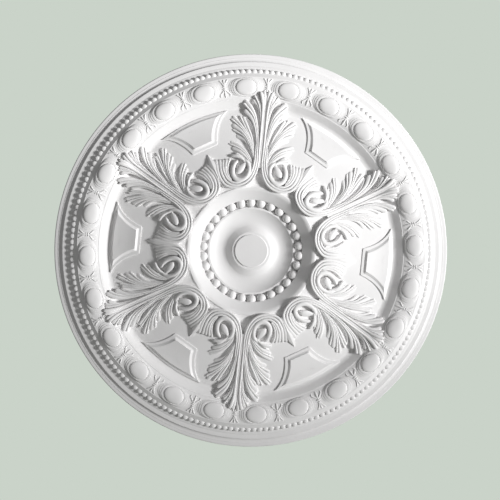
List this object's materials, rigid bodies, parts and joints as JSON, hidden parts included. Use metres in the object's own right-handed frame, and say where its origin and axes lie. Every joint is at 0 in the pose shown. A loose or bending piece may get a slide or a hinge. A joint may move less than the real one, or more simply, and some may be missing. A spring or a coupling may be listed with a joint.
{
  "type": "ceiling rose",
  "caption": "Round moulded ceiling rose with a turned and beaded centre, acanthus leaves on scrolls, and an egg-and-dart rim.",
  "frame": {"origin": "centre of the flat back face, which goes against the ceiling", "axes": "-Y out of the ornamented face, +Y out of the flat back, +Z along the midrib of one leaf, +X to the right seen from the front"},
  "size_m": [0.7992, 0.0662, 0.7992],
  "materials": {
    "primed_polyurethane": "factory-primed matte white"
  },
  "bodies": {
    "root": {"ceiling_rose": "primed_polyurethane"}
  },
  "joints": []
}
